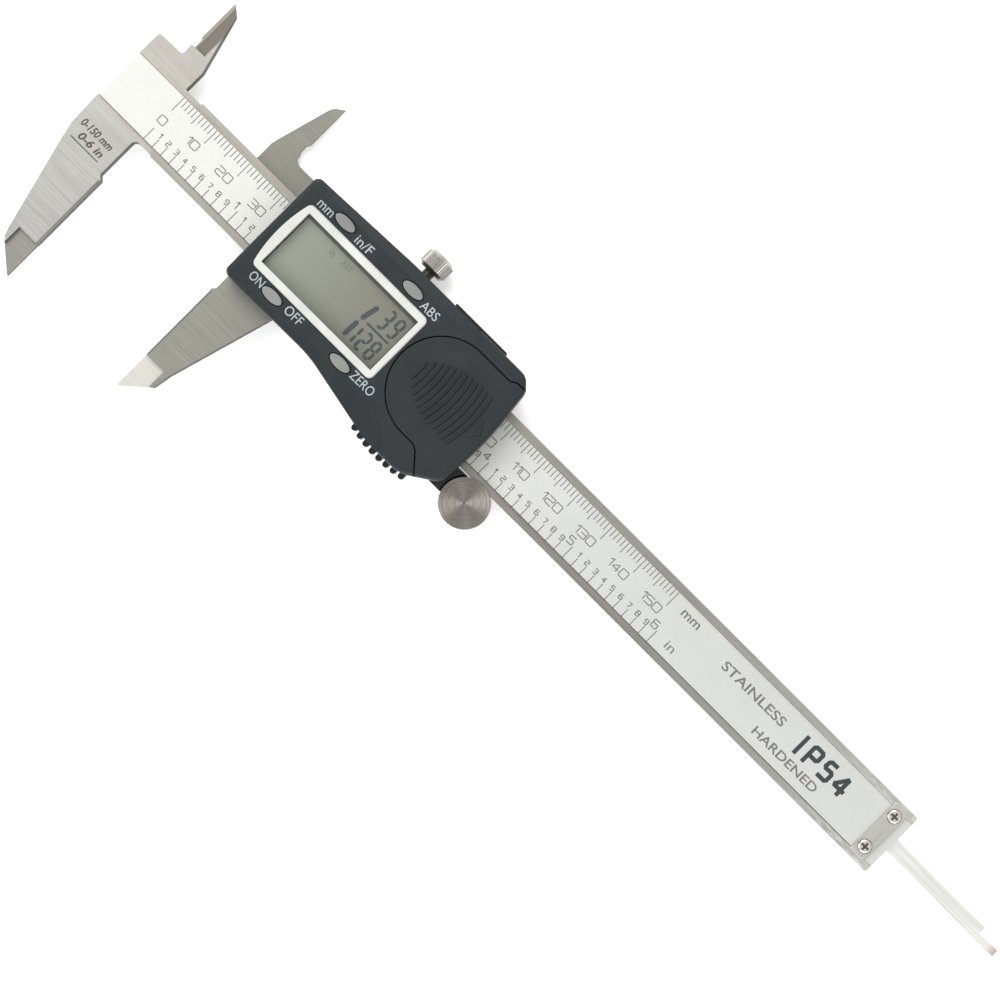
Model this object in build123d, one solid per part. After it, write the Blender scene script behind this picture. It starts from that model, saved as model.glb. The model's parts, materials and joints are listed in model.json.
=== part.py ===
from build123d import *

import math
import os

# A 150 mm digital caliper lying on its back, in millimetres, opened a little way.
# It is drawn about the beam: +X runs along the beam from the fixed jaw's measuring face, Y is 0 on
# the beam's centreline, +Y is towards the inside jaws, and Z is 0 halfway through the beam.
# write() then moves every piece so that the origin is the middle of the fixed measuring face.

# ---- driving dimensions ----
OPENING = 33.14            # gap between the outside jaws at rest
RUN = 0.05                 # clearance of metal that slides on metal
FIT = 0.05                 # clearance of pieces that are fixed together

# beam
BEAM_END = 220.0
BEAM_HALF = 8.0            # half the beam's width
BEAM_TOP = 1.7             # half the beam's thickness
CHANNEL_LOW = -6.4         # recess for the scale
CHANNEL_HIGH = 6.25
CHANNEL_FLOOR = 0.6
BOARD_THICK = 0.8
LABEL_THICK = 0.15
FACE_TOP = -19.3           # the outside measuring faces, along Y
FACE_TIP = -47.8
TIP_START = -38.5          # where the jaw tips become thin
TIP_HALF = 0.55            # half the thickness of a thin tip
HEAD_RIGHT = -0.95         # right edge of the head above the beam

# slider frame
PLATE_BACK = -3.75         # back of the slider, which the caliper rests on
PLATE_FRONT = -BEAM_TOP - RUN
FRAME_LEFT = 33.8
FRAME_RIGHT = 95.2
FRAME_TOP = 2.75
UPPER_EDGE = 13.3
LOWER_EDGE = -13.0
GIB_THICK = 0.55
GIB_LOW = BEAM_HALF + 0.03
WALL_UPPER = GIB_LOW + GIB_THICK + RUN
WALL_LOWER = -BEAM_HALF - RUN
LIP_EDGE = 6.65            # inner edge of the lips over the rails
LIP_UNDER = BEAM_TOP + RUN
INSIDE_FACE = -7.05        # knife edge of the fixed inside jaw

# gib strip, which takes up the play along the beam's upper edge
GIB_SCREWS = (45.0, 84.0)
GIB_SCREW_R = 0.95

# end stop
STOP_LEFT = 214.0
STOP_RIGHT = 217.85
STOP_BOTTOM = CHANNEL_FLOOR + BOARD_THICK + LABEL_THICK
STOP_TOP = STOP_BOTTOM + 0.7
STOP_SCREW_X = 216.0
STOP_SCREW_Y = (4.7, -4.2)
STOP_SHANK_R = 0.82
STOP_HEAD_R = 1.5
STOP_SEAT = STOP_TOP - 0.3  # the screws' heads are let into the plate

# depth rod and its clamp
ROD_LOW = -1.65            # along Y
ROD_HIGH = 1.8
ROD_THICK = 1.5
ROD_SIDE = 0.08            # clearance at each side of the rod
ROD_BOTTOM = -BEAM_TOP + 0.05
ROD_START = 84.4
ROD_TIP = BEAM_END + OPENING - 1.1   # the tip stays just inside the beam when the jaws are shut
ROD_NOTCH = 5.3            # length of its narrow end
FOOT_END = 90.4
ROD_WINDOW_X = (ROD_START - 0.1, FOOT_END + 0.1)
ROD_WINDOW_Y = (ROD_LOW - 0.1, ROD_HIGH + 0.1)
CLAMP_X = (80.6, 94.2)
CLAMP_Y = (-4.4, 4.7)
CLAMP_TOP = PLATE_BACK + 0.7
CLAMP_SCREWS = (82.5, 92.3)
CLAMP_SCREW_Y = (ROD_LOW + ROD_HIGH) / 2
CLAMP_SHANK_R = 0.78

# electronics, from the beam outwards
SENSOR_BOTTOM = 1.95
BOARD_BOTTOM = 2.85
BOARD_TOP = 3.85
LCD_X = (37.2, 71.1)
LCD_Y = (-7.8, 8.4)
LCD_BOTTOM = 6.2
LCD_TOP = 8.0
ZEBRA_Y = (-7.6, -5.9)

# housing
BASE_BOTTOM = 2.8
SHELL_BOTTOM = 3.95
SHELL_TOP = 9.6
EDGE_R = 0.8               # rounding of the housing's top edge
WALL = 1.5
BEZEL_TOP = 10.0
LOWER_CREASE = -12.15      # where the housing's top starts to slope down, along Y
UPPER_CREASE = 13.05
SLOPE_DROP = 0.9           # how far it slopes down
BOSS_R = 2.0
HOLDER_TOP = 7.2           # top of the battery holder and of the bosses beside it

# buttons: centre of each, in plan
BUTTONS = {
    "button_unit": (44.5, 11.33),
    "button_abs": (64.75, 11.33),
    "button_power": (44.45, -10.6),
    "button_zero": (64.7, -10.5),
}
BUTTON_LONG = 2.7          # semi-axes of the oval cap
BUTTON_SHORT = 1.2
BUTTON_TOP = 10.0
BUTTON_GAP = 0.22

# battery and its cover
CELL_X = 84.3
CELL_Y = 0.3
CELL_R = 10.0
CELL_BOTTOM = 4.05
CELL_THICK = 3.2
COVER_R = 11.75
COVER_BOTTOM = 8.2
COVER_WALL_LOW = 5.4       # lower edge of the cover's end wall
COVER_GAP = 0.3
RIDGES = 12
RIDGE_FIRST = 78.2
RIDGE_PITCH = 1.42
RIDGE_CURVE = 26.0         # radius of the ridges in plan
RIDGE_WIDE = 0.75
RIDGE_HIGH = 0.35

# data port cover
PORT_LEFT = 73.1
PORT_RIGHT = 88.3
PORT_TRAVEL = 9.5
PORT_SLOT_Z = (4.45, 5.95)

# thumb roller
ROLLER_X = 104.05
ROLLER_R = 5.72            # knurled flange
ROLLER_HUB_R = 4.85        # waist that rolls on the beam's edge
ROLLER_Y = -BEAM_HALF - ROLLER_HUB_R - RUN
ROLLER_HALF = 2.9          # half its height
ROLLER_WAIST = 1.85        # half the height of its waist
AXLE_R = 1.0
AXLE_TOP = 1.9
TONGUE_LEFT = 88.0
TONGUE_TOP_Y = -9.05
TONGUE_BOTTOM = 1.2
BRACKET_LEFT = FRAME_RIGHT + FIT
BRACKET_RIGHT = 100.4
BRACKET_Y = (-14.8, -8.35)
BRACKET_TOP = FRAME_TOP - 0.03
ARM_R = 1.9                # half the width of the axle's arm
ARM_BOTTOM = -3.65
ARM_TOP = -3.1

# lock screw
LOCK_X = 63.7
LOCK_R = 3.4
LOCK_BOTTOM = 16.95
LOCK_TOP = 21.3
LOCK_SHANK_R = 1.05
LOCK_NECK_R = 1.3
LOCK_BEVEL = 0.7
PAD_LOW = GIB_LOW + GIB_THICK + 0.37
PAD_HIGH = PAD_LOW + 0.75

# housing screws
SCREWS = ((37.7, 11.2), (37.7, -11.0), (93.0, 11.3), (92.9, -11.2))
SCREW_R = 0.95


# ---- building blocks ----
def block(x, y, z):
    """A box from three (low, high) pairs."""
    size = [high - low for low, high in (x, y, z)]
    middle = [(high + low) / 2 for low, high in (x, y, z)]
    return Pos(*middle) * Box(*size)


def prism(face, low, high):
    """A plan outline raised from one height to another."""
    return extrude(Pos(0, 0, low) * face, high - low)


def polygon(points, radii=0):
    """A closed outline, with one corner radius for all its points or a list of them."""
    if isinstance(radii, (int, float)):
        radii = [radii] * len(points)
    return make_face(FilletPolyline(*points, radius=radii, close=True))


def disc(x, y, r, low, high):
    """An upright cylinder."""
    return Pos(x, y, (low + high) / 2) * Cylinder(r, high - low)


def cone(x, y, r_low, r_high, low, high):
    """An upright cone."""
    return Pos(x, y, (low + high) / 2) * Cone(r_low, r_high, high - low)


def bar_y(x, z, r, low, high):
    """A cylinder along Y."""
    return Pos(x, (low + high) / 2, z) * Rot(90, 0, 0) * Cylinder(r, high - low)


def wedge(points, low, high):
    """An outline in X and Z, run along Y from low to high."""
    return extrude(Pos(0, high, 0) * (Plane.XZ * polygon(points)), high - low)


def cross_slot(x, y, size, low, high):
    """The recess of a cross-head screw."""
    half = 0.25
    along = block((x - size, x + size), (y - half, y + half), (low, high))
    across = block((x - half, x + half), (y - size, y + size), (low, high))
    return along + across


def write(name, shape):
    """Writes one node, moved so that the fixed measuring face's middle is the origin."""
    export_step(Pos(0, -(FACE_TOP + FACE_TIP) / 2, 0) * shape, f"parts/{name}.step")


def jaw_tip(face_x, side):
    """What the grinding takes off one face of an outside jaw's tip and its measuring edge."""
    wide = 5.4
    step_x = sorted((face_x + side, face_x - side * wide))
    step = block(step_x, (FACE_TIP - 1, TIP_START), (TIP_HALF, BEAM_TOP + 1))
    edge = 0.55
    outline = ((face_x, BEAM_TOP - edge), (face_x - side * edge, BEAM_TOP), (face_x + side, BEAM_TOP + 1))
    cut = step + wedge(outline, TIP_START, FACE_TOP)
    return cut + mirror(cut, about=Plane.XY)


# ---- beam and its scale ----
def beam():
    """The beam with the fixed outside and inside jaws, ground from one plate."""
    inside_jaw = [
        (-13.65, 12.3), (-6.95, 12.45), (-6.95, 15.4), (-6.6, 15.6), (-6.6, 17.7), (INSIDE_FACE, 18.1),
        (INSIDE_FACE, 28.4), (-4.6, 26.3), (HEAD_RIGHT, 12.6), (HEAD_RIGHT, 7.6),
    ]
    rails = [
        (3.5, 7.6), (3.9, BEAM_HALF), (BEAM_END - 0.4, BEAM_HALF), (BEAM_END, BEAM_HALF - 0.4),
        (BEAM_END, -BEAM_HALF + 0.4), (BEAM_END - 0.4, -BEAM_HALF), (3.9, -BEAM_HALF), (3.5, -7.7),
    ]
    outside_jaw = [
        (-1.1, -7.7), (-1.1, FACE_TOP + 1.1), (0, FACE_TOP), (0, FACE_TIP), (-0.3, -47.7), (-5.1, -43.6),
        (-6.4, -42.0), (-7.0, -40.3), (-12.5, -19.0), (-13.5, -14.5), (-13.75, -8.0), (-13.8, 2.0),
    ]
    points = inside_jaw + rails + outside_jaw
    radii = [0] * len(points)
    radii[0] = 0.6
    radii[1] = 0.6
    radii[8] = 1.2
    radii[len(inside_jaw) + len(rails)] = 1.2
    plate = prism(polygon(points, radii), -BEAM_TOP, BEAM_TOP)
    channel = block((-20, BEAM_END + 1), (CHANNEL_LOW, CHANNEL_HIGH), (CHANNEL_FLOOR, BEAM_TOP + 1))
    groove = block(
        (12.0, BEAM_END + 1),
        (ROD_LOW - ROD_SIDE, ROD_HIGH + ROD_SIDE),
        (-BEAM_TOP - 1, ROD_BOTTOM + ROD_THICK + 0.1),
    )
    knife = wedge(
        ((-3.1, BEAM_TOP), (-6.2, -0.9), (-8.0, -1.4), (-8.0, BEAM_TOP + 1), (-3.1, BEAM_TOP + 1)),
        15.4, 30.0,
    )
    body = plate - channel - groove - knife - jaw_tip(0.0, 1)
    for y in STOP_SCREW_Y:
        body -= disc(STOP_SCREW_X, y, STOP_SHANK_R + 0.03, -BEAM_TOP - 1, BEAM_TOP + 1)
    return body


def recess_edges(inset):
    """Y limits of the scale, a little inside its recess."""
    return CHANNEL_LOW + inset, CHANNEL_HIGH - inset


def scale_board():
    """The glass-fibre board with the electrode pattern, bonded into the beam's recess."""
    board = block((-13.5, BEAM_END), recess_edges(0.1), (CHANNEL_FLOOR, CHANNEL_FLOOR + BOARD_THICK))
    for y in STOP_SCREW_Y:
        board -= disc(STOP_SCREW_X, y, STOP_SHANK_R + 0.13, 0, BEAM_TOP)
    return board


def scale_label():
    """The printed foil on top of the scale board."""
    low = CHANNEL_FLOOR + BOARD_THICK
    label = block((-13.55, BEAM_END), recess_edges(0.05), (low, low + LABEL_THICK))
    for y in STOP_SCREW_Y:
        label -= disc(STOP_SCREW_X, y, STOP_SHANK_R + 0.13, 0, BEAM_TOP)
    return label


def end_stop_plate():
    """The plate across the beam's end that the slider runs up against."""
    low = STOP_BOTTOM
    outline = polygon(((STOP_LEFT, -6.7), (STOP_RIGHT, -6.7), (STOP_RIGHT, 7.5), (STOP_LEFT, 7.5)), 0.8)
    plate = prism(outline, low, STOP_TOP)
    plate = chamfer(plate.edges().group_by(Axis.Z)[-1], 0.15)
    # the plate lies on the label, so its ends are relieved over the rails
    for y in ((CHANNEL_HIGH, 9.0), (-9.0, CHANNEL_LOW)):
        plate -= block((STOP_LEFT - 1, STOP_RIGHT + 1), y, (low - 1, BEAM_TOP + 0.02))
    for y in STOP_SCREW_Y:
        plate -= disc(STOP_SCREW_X, y, STOP_SHANK_R + 0.08, low - 1, STOP_TOP + 1)
        plate -= disc(STOP_SCREW_X, y, STOP_HEAD_R + 0.1, STOP_SEAT, STOP_TOP + 1)
    return plate


def end_stop_screws():
    """Two cross-head screws that hold the stop plate."""
    screws = []
    for y in STOP_SCREW_Y:
        head = disc(STOP_SCREW_X, y, STOP_HEAD_R, STOP_SEAT, STOP_SEAT + 0.75)
        head = fillet(head.edges().group_by(Axis.Z)[-1], 0.4)
        shank = disc(STOP_SCREW_X, y, STOP_SHANK_R, -BEAM_TOP + 0.1, STOP_SEAT + 0.1)
        screws.append(head + shank - cross_slot(STOP_SCREW_X, y, 0.95, STOP_SEAT + 0.25, STOP_TOP + 1))
    return Compound(screws)


# ---- slider frame ----
def slider_plate():
    """The slider's back plate with the moving inside jaw, which passes behind the beam's head."""
    blade = [
        (19.7, 12.6), (20.0, 14.0), (23.5, 26.6), (24.1, 27.5), (26.1, 28.9), (26.1, 18.2), (25.55, 17.4),
        (25.55, 15.6), (25.95, 14.9), (26.1, 13.8),
    ]
    body = [
        (27.3, UPPER_EDGE), (FRAME_RIGHT, UPPER_EDGE), (FRAME_RIGHT, LOWER_EDGE), (46.6, LOWER_EDGE),
        (45.4, -17.0), (FRAME_LEFT, -17.0), (FRAME_LEFT, -8.0), (22.5, -8.0), (19.7, -5.2),
    ]
    radii = [0] * len(blade) + [1.0, 1.0, 1.0, 0, 0, 0, 0, 1.5, 1.5]
    plate = prism(polygon(blade + body, radii), PLATE_BACK, PLATE_FRONT)
    under = PLATE_BACK - 1
    knife = ((26.2, PLATE_FRONT - 0.3), (22.6, PLATE_BACK), (22.6, under), (26.2, under))
    return plate - wedge(knife, 13.9, 30.0)


def moving_jaw():
    """The moving outside jaw, in line with the fixed one."""
    outline = [
        (FRAME_LEFT, WALL_LOWER), (FRAME_LEFT, FACE_TOP + 1.4), (OPENING, FACE_TOP + 0.7),
        (OPENING, FACE_TIP), (OPENING + 0.3, FACE_TIP + 0.1), (39.4, -42.4), (40.1, -38.2),
        (46.9, -14.3), (46.9, LOWER_EDGE + 0.5), (46.0, WALL_LOWER),
    ]
    return prism(polygon(outline), -BEAM_TOP, BEAM_TOP) - jaw_tip(OPENING, -1)


def slider_frame():
    """The steel slider: back plate, side walls, lips over the rails and both moving jaws."""
    lower_wall = block((FRAME_LEFT, FRAME_RIGHT), (LOWER_EDGE, WALL_LOWER), (PLATE_FRONT, FRAME_TOP))
    upper_wall = block((33.3, FRAME_RIGHT), (WALL_UPPER, UPPER_EDGE), (PLATE_FRONT, FRAME_TOP))
    lower_lip = block((FRAME_LEFT, FRAME_RIGHT), (WALL_LOWER, -LIP_EDGE), (LIP_UNDER, FRAME_TOP))
    upper_lip = block((33.3, FRAME_RIGHT), (LIP_EDGE, WALL_UPPER), (LIP_UNDER, FRAME_TOP))
    root = block((FRAME_LEFT, 45.4), (-17.0, WALL_LOWER), (PLATE_FRONT, -BEAM_TOP))
    frame = slider_plate() + lower_wall + upper_wall + lower_lip + upper_lip + root + moving_jaw()
    for x, y in SCREWS:
        frame -= disc(x, y, SCREW_R + 0.05, PLATE_BACK - 1, FRAME_TOP + 1)
        frame -= cone(x, y, 2.0, SCREW_R, PLATE_BACK, PLATE_BACK + 1.05)
    for x in GIB_SCREWS:
        frame -= bar_y(x, 0, GIB_SCREW_R + 0.02, WALL_UPPER - 1, UPPER_EDGE + 1)
    frame -= bar_y(LOCK_X, 0, LOCK_SHANK_R + 0.1, WALL_UPPER - 1, UPPER_EDGE + 1)
    frame -= block(ROD_WINDOW_X, ROD_WINDOW_Y, (PLATE_BACK - 1, PLATE_FRONT + 1))
    frame -= block(CLAMP_X, CLAMP_Y, (PLATE_BACK - 1, CLAMP_TOP + 0.02))
    for x in CLAMP_SCREWS:
        frame -= disc(x, CLAMP_SCREW_Y, CLAMP_SHANK_R + 0.04, PLATE_BACK, PLATE_FRONT + 1)
    tongue_y = (LOWER_EDGE - 1, TONGUE_TOP_Y + FIT)
    frame -= block((TONGUE_LEFT - 0.1, 100), tongue_y, (TONGUE_BOTTOM - FIT, 9))
    return frame


def gib_strip():
    """The bronze strip that takes up the play along the beam's upper edge."""
    return block((36.0, 93.0), (GIB_LOW, GIB_LOW + GIB_THICK), (-1.6, 1.6))


def gib_screws():
    """Two slotted set screws that press on the gib strip."""
    screws = []
    for x in GIB_SCREWS:
        screw = bar_y(x, 0, GIB_SCREW_R, GIB_LOW + GIB_THICK, UPPER_EDGE - 0.3)
        screws.append(screw - block((x - 2, x + 2), (UPPER_EDGE - 0.9, UPPER_EDGE), (-0.15, 0.15)))
    return Compound(screws)


# ---- depth rod, which a small plate clamps to the slider's back ----
def depth_rod():
    """The flat rod in the beam's back groove, with a foot in the slider's window."""
    rod = block((ROD_START, ROD_TIP), (ROD_LOW, ROD_HIGH), (ROD_BOTTOM, ROD_BOTTOM + ROD_THICK))
    foot = block((ROD_START, FOOT_END), (ROD_LOW, ROD_HIGH), (CLAMP_TOP + 0.05, ROD_BOTTOM))
    notch = block((ROD_TIP - ROD_NOTCH, ROD_TIP + 1), (0.15, ROD_HIGH + 1), (-BEAM_TOP - 1, 1))
    return rod + foot - notch


def depth_rod_clamp():
    """The plate let into the slider's back that holds the rod's foot."""
    inside_x = (CLAMP_X[0] + FIT, CLAMP_X[1] - FIT)
    inside_y = (CLAMP_Y[0] + FIT, CLAMP_Y[1] - FIT)
    plate = block(inside_x, inside_y, (PLATE_BACK + FIT, CLAMP_TOP))
    for x in CLAMP_SCREWS:
        plate -= disc(x, CLAMP_SCREW_Y, CLAMP_SHANK_R + 0.04, PLATE_BACK, CLAMP_TOP + 1)
        plate -= cone(x, CLAMP_SCREW_Y, 1.55, 0.8, PLATE_BACK, PLATE_BACK + 0.6)
    return plate


def rod_clamp_screws():
    """Two countersunk screws through the clamp plate."""
    screws = []
    for x in CLAMP_SCREWS:
        low = PLATE_BACK + FIT
        shank = disc(x, CLAMP_SCREW_Y, CLAMP_SHANK_R, low, PLATE_FRONT - 0.1)
        head = cone(x, CLAMP_SCREW_Y, 1.4, CLAMP_SHANK_R, low, low + 0.5)
        screws.append(shank + head - cross_slot(x, CLAMP_SCREW_Y, 0.7, low - 1, low + 0.4))
    return Compound(screws)


# ---- thumb roller and its bracket ----
def roller_bracket():
    """The black block behind the housing, with the arm that carries the roller's axle."""
    body = block((BRACKET_LEFT, BRACKET_RIGHT), BRACKET_Y, (ARM_BOTTOM, BRACKET_TOP))
    body -= disc(ROLLER_X, ROLLER_Y, ROLLER_R + 0.35, ARM_TOP, BRACKET_TOP + 1)
    tongue_y = (LOWER_EDGE, TONGUE_TOP_Y)
    tongue = block((TONGUE_LEFT, BRACKET_LEFT + 0.1), tongue_y, (TONGUE_BOTTOM, BRACKET_TOP))
    arm = block((BRACKET_LEFT, ROLLER_X), (ROLLER_Y - ARM_R, ROLLER_Y + ARM_R), (ARM_BOTTOM, ARM_TOP))
    arm += disc(ROLLER_X, ROLLER_Y, ARM_R, ARM_BOTTOM, ARM_TOP)
    x, y = SCREWS[3]
    bracket = body + tongue + arm - disc(x, y, SCREW_R + 0.05, 0, 9)
    return bracket - disc(ROLLER_X, ROLLER_Y, AXLE_R + 0.02, ARM_BOTTOM - 1, ARM_TOP + 1)


def knurled(r, teeth, depth, low, high):
    """An upright disc with a saw-toothed rim, centred on the Z axis."""
    points = []
    for i in range(2 * teeth):
        angle = math.pi * i / teeth
        radius = r - depth * (i % 2)
        points.append((radius * math.cos(angle), radius * math.sin(angle)))
    return prism(make_face(Polyline(*points, close=True)), low, high)


def thumb_roller():
    """The turned roller: a waist that rolls on the beam's edge between two knurled flanges."""
    flange = knurled(ROLLER_R, 64, 0.22, ROLLER_WAIST, ROLLER_HALF)
    roller = disc(0, 0, ROLLER_HUB_R, -ROLLER_WAIST, ROLLER_WAIST) + flange + mirror(flange, about=Plane.XY)
    for ring_r in (2.0, 3.4, 4.7):
        groove = disc(0, 0, ring_r + 0.12, ROLLER_HALF - 0.06, ROLLER_HALF + 1)
        roller -= groove - disc(0, 0, ring_r, 0, 9)
    roller -= cone(0, 0, 0.05, 0.3, ROLLER_HALF - 0.2, ROLLER_HALF + 0.01)
    return Pos(ROLLER_X, ROLLER_Y, 0) * (roller - disc(0, 0, AXLE_R + RUN, -9, AXLE_TOP + 0.1))


def roller_axle():
    """The pin in the bracket's arm that the roller turns on."""
    pin = disc(ROLLER_X, ROLLER_Y, AXLE_R, ARM_BOTTOM, AXLE_TOP)
    return chamfer(pin.edges().group_by(Axis.Z)[-1], 0.2)


# ---- lock screw ----
def lock_pad():
    """The brass plug between the lock screw's end and the gib strip."""
    return bar_y(LOCK_X, 0, LOCK_SHANK_R, PAD_LOW, PAD_HIGH)


def lock_screw():
    """The knurled screw that locks the slider."""
    height = LOCK_TOP - LOCK_BOTTOM
    knurl = 0.25
    core = LOCK_R - knurl
    knob = knurled(LOCK_R, 36, knurl, LOCK_BEVEL, height - LOCK_BEVEL)
    knob += cone(0, 0, core - 0.5, core, 0, LOCK_BEVEL)
    knob += cone(0, 0, core, core - 0.6, height - LOCK_BEVEL, height)
    knob = Pos(LOCK_X, LOCK_BOTTOM, 0) * Rot(-90, 0, 0) * knob
    shank = bar_y(LOCK_X, 0, LOCK_SHANK_R, PAD_HIGH + RUN, LOCK_BOTTOM)
    return knob + shank + bar_y(LOCK_X, 0, LOCK_NECK_R, UPPER_EDGE + 1.0, LOCK_BOTTOM)


# ---- electronics ----
def sensor_board():
    """The pick-up board that hangs between the lips, just above the scale."""
    return block((40.0, 90.0), (-6.3, 6.2), (SENSOR_BOTTOM, BOARD_BOTTOM - 0.03))


def circuit_board():
    """The main board across the slider's frame."""
    board = block((35.6, 94.4), (-12.4, 12.7), (BOARD_BOTTOM, BOARD_TOP))
    for x, y in SCREWS:
        board -= disc(x, y, SCREW_R + 0.1, 0, 9)
    return board


def controller_chip():
    """The controller under its blob of black resin."""
    blob = disc(50.0, 1.0, 3.6, BOARD_TOP, BOARD_TOP + 1.1)
    return fillet(blob.edges().group_by(Axis.Z)[-1], 0.9)


def switch_domes():
    """One snap dome under each button."""
    domes = []
    for x, y in BUTTONS.values():
        dome = disc(x, y, 1.9, BOARD_TOP, BOARD_TOP + 0.35)
        domes.append(chamfer(dome.edges().group_by(Axis.Z)[-1], 0.25))
    return Compound(domes)


def lcd_glass():
    """The two bonded glass plates of the display."""
    return block(LCD_X, LCD_Y, (LCD_BOTTOM, LCD_TOP))


def zebra_connector():
    """The striped rubber strip between the board and the display's lower edge."""
    return block((38.0, 70.3), ZEBRA_Y, (BOARD_TOP, LCD_BOTTOM))


def lcd_frame():
    """The plastic frame that holds the display over the board."""
    low = BOARD_TOP + 0.02
    frame = block((36.7, 71.6), (-8.3, 8.9), (low, LCD_TOP + 0.15))
    frame -= block((37.15, 71.15), (-7.85, 8.45), (LCD_BOTTOM - 0.01, LCD_TOP + 1))
    frame -= block((39.0, 69.5), (-5.2, 7.0), (0, 9))
    return frame - block((37.9, 70.4), (ZEBRA_Y[0] - 0.05, ZEBRA_Y[1] + 0.05), (0, 9))


def battery_holder():
    """The ring on the board that centres the cell."""
    ring = disc(CELL_X, CELL_Y, 11.2, BOARD_TOP + 0.02, HOLDER_TOP)
    ring -= disc(CELL_X, CELL_Y, CELL_R + 0.15, 0, 9)
    ring -= block((70, 76), (-2.3, 2.9), (0, 9))
    for x, y in SCREWS[2:]:
        ring -= disc(x, y, 2.4, 0, 9)
    return ring


def battery():
    """The coin cell, with its stepped negative side down."""
    step = 0.5
    low = disc(CELL_X, CELL_Y, CELL_R - 1.2, CELL_BOTTOM, CELL_BOTTOM + step)
    can = disc(CELL_X, CELL_Y, CELL_R, CELL_BOTTOM + step, CELL_BOTTOM + CELL_THICK)
    return low + fillet(can.edges().group_by(Axis.Z)[-1], 0.4)


def battery_contact_minus():
    """The flat contact under the cell."""
    return block((79.0, 89.0), (-1.2, 1.8), (BOARD_TOP, CELL_BOTTOM))


def battery_contact_plus():
    """The upright contact at the cell's side."""
    wide = (-1.6, 2.2)
    side = CELL_X - CELL_R - 0.1
    wall = block((side - 0.3, side), wide, (BOARD_TOP, HOLDER_TOP - 0.4))
    return wall + block((72.4, side), wide, (BOARD_TOP, BOARD_TOP + 0.2))


def data_port_contacts():
    """Four pins behind the data port."""
    pins = [block((x, x + 1.0), (11.8, 12.4), (BOARD_TOP, 5.4)) for x in (79.0, 81.2, 83.4, 85.6)]
    return Compound(pins)


# ---- housing ----
def housing_face(inset=0.0):
    """The housing's plan outline, drawn in by an inset."""
    corners = {
        (33.3, 14.35): 1.5, (33.3, -14.2): 1.5, (59.0, -14.1): 30, (80.0, -18.3): 18, (89.9, -18.25): 8,
        (97.5, -13.2): 2.5, (98.4, -1.0): 60, (96.95, 12.9): 3, (94.6, 15.45): 3, (61.0, 15.45): 20,
        (38.2, 14.5): 20,
    }
    face = polygon(corners.keys(), list(corners.values()))
    return offset(face, -inset) if inset else face


def cover_face(grow=0.0):
    """The battery cover's plan outline, run out past the housing's right end."""
    upper = CELL_Y + COVER_R
    lower = CELL_Y - COVER_R
    arc = ThreePointArc((CELL_X, upper), (CELL_X - COVER_R, CELL_Y), (CELL_X, lower))
    rest = Polyline(
        (CELL_X, lower), (87.9, lower), (89.2, -12.2), (96.4, -20.4), (102.0, -20.4), (102.0, 13.05),
        (94.3, 12.9), (92.9, upper), (CELL_X, upper),
    )
    face = make_face(arc + rest)
    return offset(face, grow) if grow else face


def bezel_face(grow=0.0):
    """The display bezel's outline, with its bulging left side."""
    left = ThreePointArc((36.6, -8.7), (35.4, 0.3), (36.6, 9.2))
    face = make_face(left + Polyline((36.6, 9.2), (71.75, 9.2), (71.75, -8.7), (36.6, -8.7)))
    face = fillet(face.vertices(), 1.3)
    return offset(face, grow) if grow else face


def oval(x, y, grow, low, high):
    """A prism of a button's shape."""
    return prism(Pos(x, y) * Ellipse(BUTTON_LONG + grow, BUTTON_SHORT + grow), low, high)


def rib_bottoms():
    """The thumb grip's ribs, as (middle, lowest point)."""
    first, pitch, count = 76.05, 2.05, 8
    middle, lowest, bow = 84.0, -19.7, 0.0155
    places = [first + pitch * i for i in range(count)]
    return [(x, lowest + bow * (x - middle) ** 2) for x in places]


def housing_base():
    """The black lower moulding around the board, with the ribbed thumb grip."""
    high = 3.6
    base = prism(housing_face(0.35), BASE_BOTTOM, high)
    base -= block((35.3, 94.7), (-12.5, 12.8), (0, 9))
    low = -1.2
    grip = prism(housing_face(0.5), low, BASE_BOTTOM + 0.1)
    base += grip & block((73.5, 94.0), (-30, LOWER_EDGE - 0.25), (-2, 9))
    for x, y in rib_bottoms():
        half = 0.67
        base += block((x - half, x + half), (y + half, -15.5), (low, high - 0.2))
        base += disc(x, y + half, half, low, high - 0.2)
    return base


def housing_gasket():
    """The seal between the lower moulding and the housing."""
    ring = prism(housing_face(0.5), 3.6, SHELL_BOTTOM)
    return ring - prism(housing_face(1.3), 0, 9)


def housing_block():
    """The housing's outer shape, rounded over its top edge."""
    solid = prism(housing_face(), SHELL_BOTTOM, SHELL_TOP)
    return fillet(solid.edges().group_by(Axis.Z)[-1], EDGE_R)


def shoulder(crease, edge, left, right):
    """What slopes the housing's top down from a crease to an edge, ending in a curve at its right."""
    top = SHELL_TOP
    slope = Plane.YZ * polygon(((crease, top), (edge, top - SLOPE_DROP), (edge, top + 1), (crease, top + 1)))
    reach = edge - crease
    face = make_face(
        Polyline((right, edge), (left, edge), (left + abs(reach), crease), (right - 5.5, crease))
        + ThreePointArc((right - 5.5, crease), (right - 1.8, crease + 0.36 * reach), (right, edge))
    )
    return extrude(slope, 100) & prism(face, top - 2, top + 2)


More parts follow.
